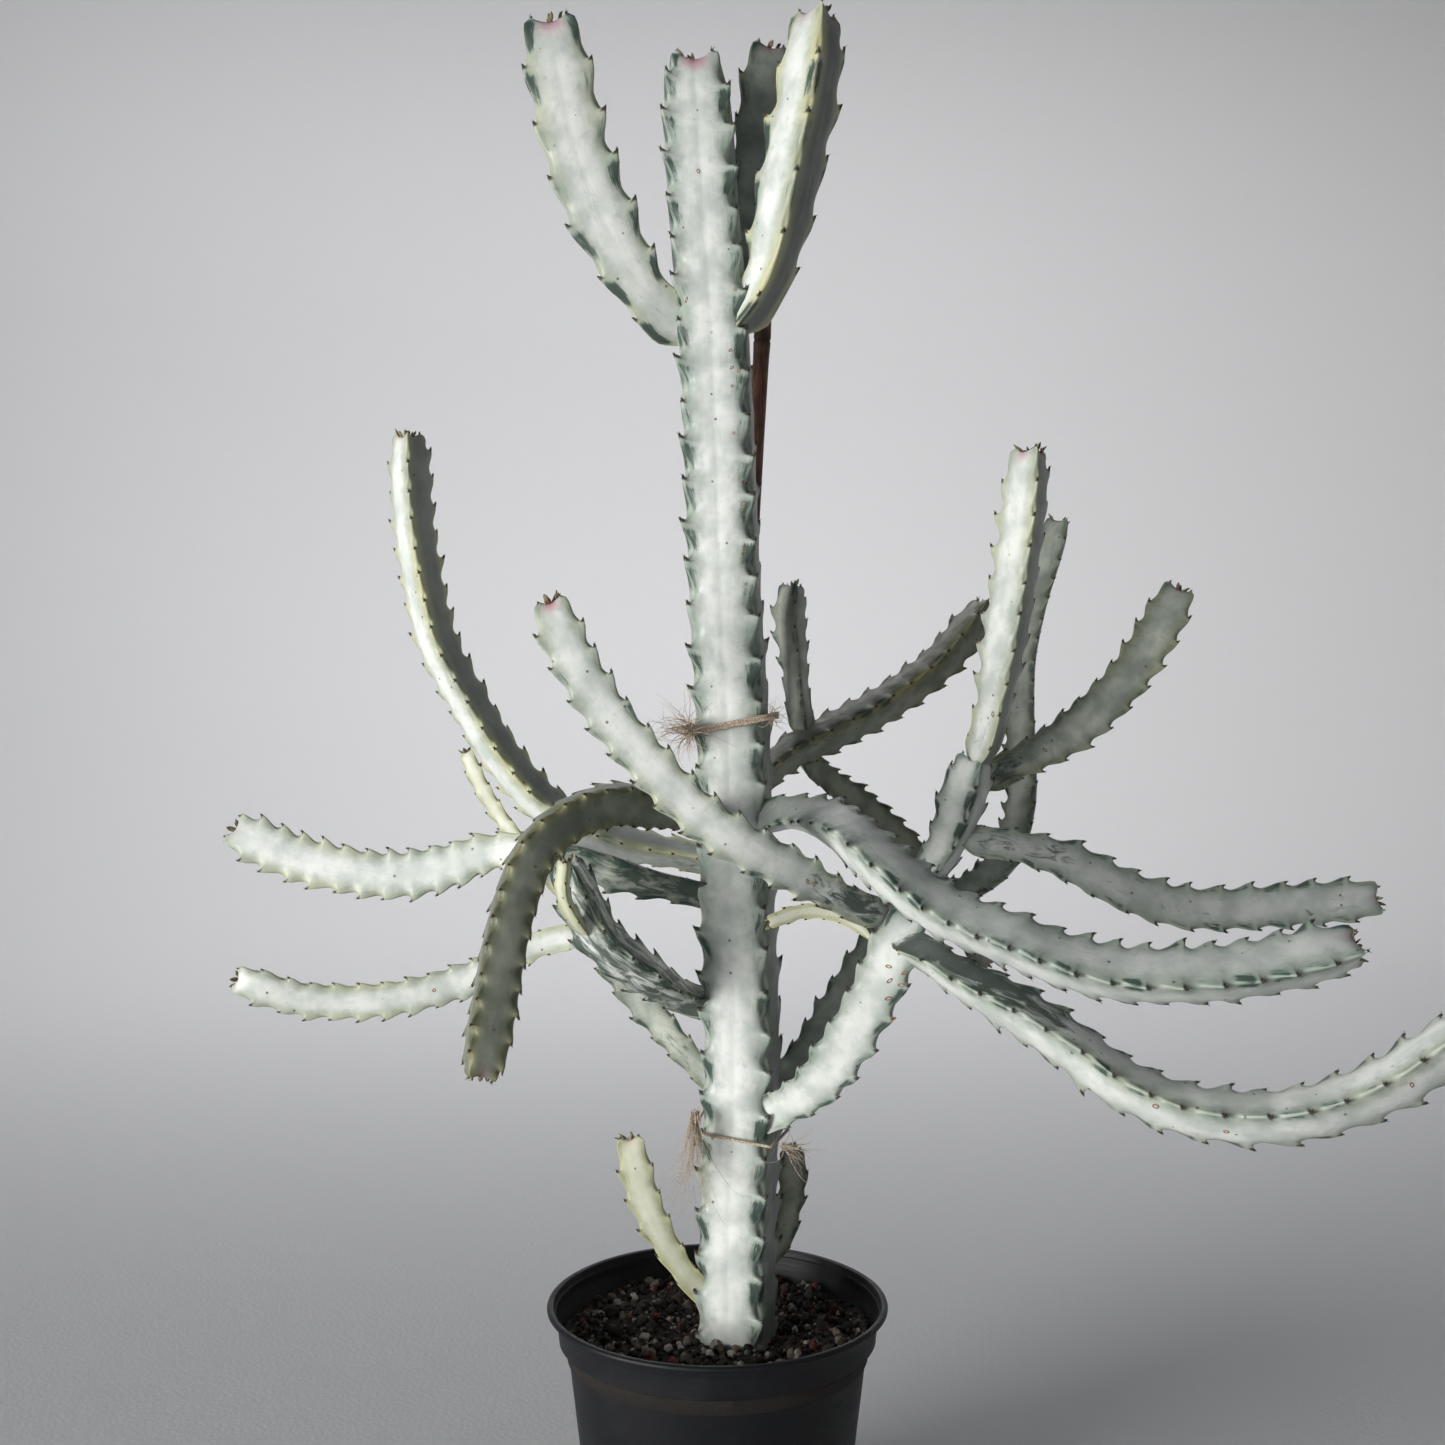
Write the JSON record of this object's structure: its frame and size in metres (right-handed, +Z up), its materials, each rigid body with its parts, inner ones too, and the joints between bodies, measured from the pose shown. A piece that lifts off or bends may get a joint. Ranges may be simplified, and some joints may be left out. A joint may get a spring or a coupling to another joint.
{
  "type": "potted euphorbia",
  "caption": "Tall branching succulent with ribbed, toothed white stems, tied to a cane and standing in a round black nursery pot.",
  "frame": {"origin": "centre of the pot's underside, the face it stands on", "axes": "+Z up the plant, -Y towards its front, +X towards the side with the two long low arms"},
  "size_m": [0.585, 0.333, 0.7734],
  "materials": {
    "pale_skin": "satin waxy skin",
    "shaded_skin": "satin waxy skin",
    "young_skin": "satin waxy skin",
    "pot": "matte with fine scratches",
    "soil": "loose grit",
    "bamboo": "weathered",
    "twine": "rough"
  },
  "bodies": {
    "root": {"main_stem": "pale_skin", "crown_left": "pale_skin", "crown_right": "pale_skin", "crown_back": "shaded_skin", "left_tall_stem": "shaded_skin", "left_high_limb": "shaded_skin", "left_upper_arm": "pale_skin", "left_middle_limb": "pale_skin", "left_mid_stub": "young_skin", "left_low_limb": "shaded_skin", "left_lower_arm": "pale_skin", "left_low_shoot": "young_skin", "front_drooping_arm": "shaded_skin", "right_front_limb": "pale_skin", "crossing_stem": "pale_skin", "inner_stub": "young_skin", "right_low_arm": "pale_skin", "right_sweeping_arm": "pale_skin", "right_back_limb": "shaded_skin", "right_fork_limb": "pale_skin", "right_back_stem": "shaded_skin", "right_tall_stem": "pale_skin", "right_slanting_stem": "shaded_skin", "right_arching_arm": "pale_skin", "back_slanting_stem": "shaded_skin", "back_upright_stem": "shaded_skin", "back_hanging_stem": "shaded_skin", "base_left_shoot": "young_skin", "base_right_shoot": "shaded_skin", "pot": "pot", "soil": "soil", "bamboo_stake": "bamboo", "upper_tie": "twine", "lower_tie": "twine"}
  },
  "joints": []
}
